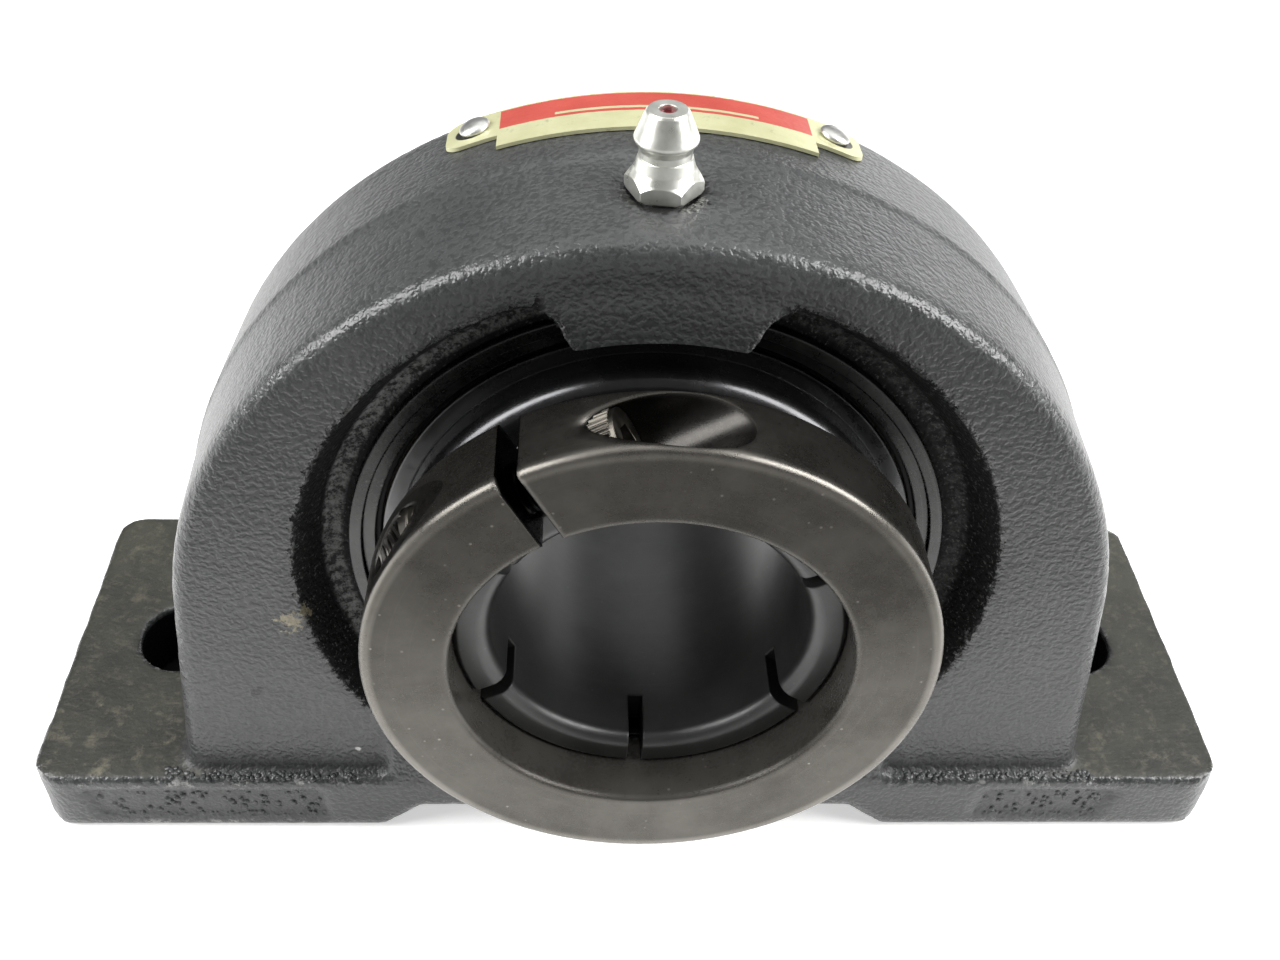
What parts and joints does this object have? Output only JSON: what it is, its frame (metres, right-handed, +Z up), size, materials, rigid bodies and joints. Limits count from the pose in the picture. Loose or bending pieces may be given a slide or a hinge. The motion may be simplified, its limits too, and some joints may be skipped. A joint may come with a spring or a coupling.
{
  "type": "pillow block bearing",
  "caption": "Cast pillow block with a self-aligning ball bearing, split clamp collar, grease fitting, slotted feet.",
  "frame": {"origin": "middle of the bolt slots on the base plane, below the shaft centre", "axes": "+X along the base, -Y towards the lock collar along the shaft, +Z up"},
  "size_m": [0.1886, 0.0744, 0.1174],
  "materials": {
    "housing_paint": "rough cast surface under dark grey paint",
    "zinc": "bright zinc plate",
    "bright_steel": "ground steel",
    "ring_steel": "ground steel with a film of oil",
    "dark_steel": "blackened steel",
    "cage": "pressed and trimmed",
    "felt": "oiled felt",
    "flinger_black": "gloss black",
    "black_oxide": "brownish black oxide, turned",
    "screw_steel": "dull grey with a brassy tint",
    "plate_gold": "printed foil on thin sheet"
  },
  "bodies": {
    "housing": {"housing": "housing_paint", "grease_fitting": "zinc", "grease_check_spring": "bright_steel", "nameplate": "plate_gold", "plate_rivets": "bright_steel"},
    "check_ball": {"grease_check_ball": "bright_steel"},
    "lock_pin": {"lock_pin": "bright_steel"},
    "outer": {"outer_ring": "ring_steel", "front_shield": "dark_steel", "back_shield": "dark_steel", "front_felt": "felt", "back_felt": "felt"},
    "inner": {"inner_ring": "dark_steel", "front_flinger": "flinger_black", "back_flinger": "flinger_black", "lock_collar": "black_oxide", "collar_screw": "screw_steel"},
    "cage": {"ball_cage": "cage"},
    "ball_01": {"ball_01": "bright_steel"},
    "ball_02": {"ball_02": "bright_steel"},
    "ball_03": {"ball_03": "bright_steel"},
    "ball_04": {"ball_04": "bright_steel"},
    "ball_05": {"ball_05": "bright_steel"},
    "ball_06": {"ball_06": "bright_steel"},
    "ball_07": {"ball_07": "bright_steel"},
    "ball_08": {"ball_08": "bright_steel"},
    "ball_09": {"ball_09": "bright_steel"},
    "ball_10": {"ball_10": "bright_steel"}
  },
  "joints": [
    {"name": "align_tilt", "type": "hinge", "parent": "housing", "child": "lock_pin", "pos_m": [0, -0.007, 0.0524], "axis": [1, 0, 0], "range_deg": [-2, 2]},
    {"name": "align_swing", "type": "hinge", "parent": "lock_pin", "child": "outer", "pos_m": [0, -0.007, 0.0524], "axis": [0, 0, 1], "range_deg": [-2, 2]},
    {"name": "shaft_spin", "type": "hinge", "parent": "outer", "child": "inner", "pos_m": [0, -0.007, 0.0524], "axis": [0, 1, 0], "continuous": true},
    {"name": "cage_spin", "type": "hinge", "parent": "outer", "child": "cage", "pos_m": [0, -0.007, 0.0524], "axis": [0, 1, 0], "continuous": true},
    {"name": "check_press", "type": "slide", "parent": "housing", "child": "check_ball", "axis": [0, 0, -1], "range_m": [0, 0.0008], "stiffness_N_per_m": 300, "springref_m": -0.0004, "deforming": ["grease_check_spring"]},
    {"name": "ball_01_spin", "type": "hinge", "parent": "cage", "child": "ball_01", "pos_m": [0.02629, -0.007, 0.0715], "axis": [0, 1, 0], "continuous": true},
    {"name": "ball_02_spin", "type": "hinge", "parent": "cage", "child": "ball_02", "pos_m": [0.01004, -0.007, 0.08331], "axis": [0, 1, 0], "continuous": true},
    {"name": "ball_03_spin", "type": "hinge", "parent": "cage", "child": "ball_03", "pos_m": [-0.01004, -0.007, 0.08331], "axis": [0, 1, 0], "continuous": true},
    {"name": "ball_04_spin", "type": "hinge", "parent": "cage", "child": "ball_04", "pos_m": [-0.02629, -0.007, 0.0715], "axis": [0, 1, 0], "continuous": true},
    {"name": "ball_05_spin", "type": "hinge", "parent": "cage", "child": "ball_05", "pos_m": [-0.0325, -0.007, 0.0524], "axis": [0, 1, 0], "continuous": true},
    {"name": "ball_06_spin", "type": "hinge", "parent": "cage", "child": "ball_06", "pos_m": [-0.02629, -0.007, 0.0333], "axis": [0, 1, 0], "continuous": true},
    {"name": "ball_07_spin", "type": "hinge", "parent": "cage", "child": "ball_07", "pos_m": [-0.01004, -0.007, 0.02149], "axis": [0, 1, 0], "continuous": true},
    {"name": "ball_08_spin", "type": "hinge", "parent": "cage", "child": "ball_08", "pos_m": [0.01004, -0.007, 0.02149], "axis": [0, 1, 0], "continuous": true},
    {"name": "ball_09_spin", "type": "hinge", "parent": "cage", "child": "ball_09", "pos_m": [0.02629, -0.007, 0.0333], "axis": [0, 1, 0], "continuous": true},
    {"name": "ball_10_spin", "type": "hinge", "parent": "cage", "child": "ball_10", "pos_m": [0.0325, -0.007, 0.0524], "axis": [0, 1, 0], "continuous": true}
  ],
  "couplings": [
    {"joint": "cage_spin", "follows": "shaft_spin", "ratio": 0.40231},
    {"joint": "ball_01_spin", "follows": "shaft_spin", "ratio": -2.4614},
    {"joint": "ball_02_spin", "follows": "shaft_spin", "ratio": -2.4614},
    {"joint": "ball_03_spin", "follows": "shaft_spin", "ratio": -2.4614},
    {"joint": "ball_04_spin", "follows": "shaft_spin", "ratio": -2.4614},
    {"joint": "ball_05_spin", "follows": "shaft_spin", "ratio": -2.4614},
    {"joint": "ball_06_spin", "follows": "shaft_spin", "ratio": -2.4614},
    {"joint": "ball_07_spin", "follows": "shaft_spin", "ratio": -2.4614},
    {"joint": "ball_08_spin", "follows": "shaft_spin", "ratio": -2.4614},
    {"joint": "ball_09_spin", "follows": "shaft_spin", "ratio": -2.4614},
    {"joint": "ball_10_spin", "follows": "shaft_spin", "ratio": -2.4614}
  ]
}
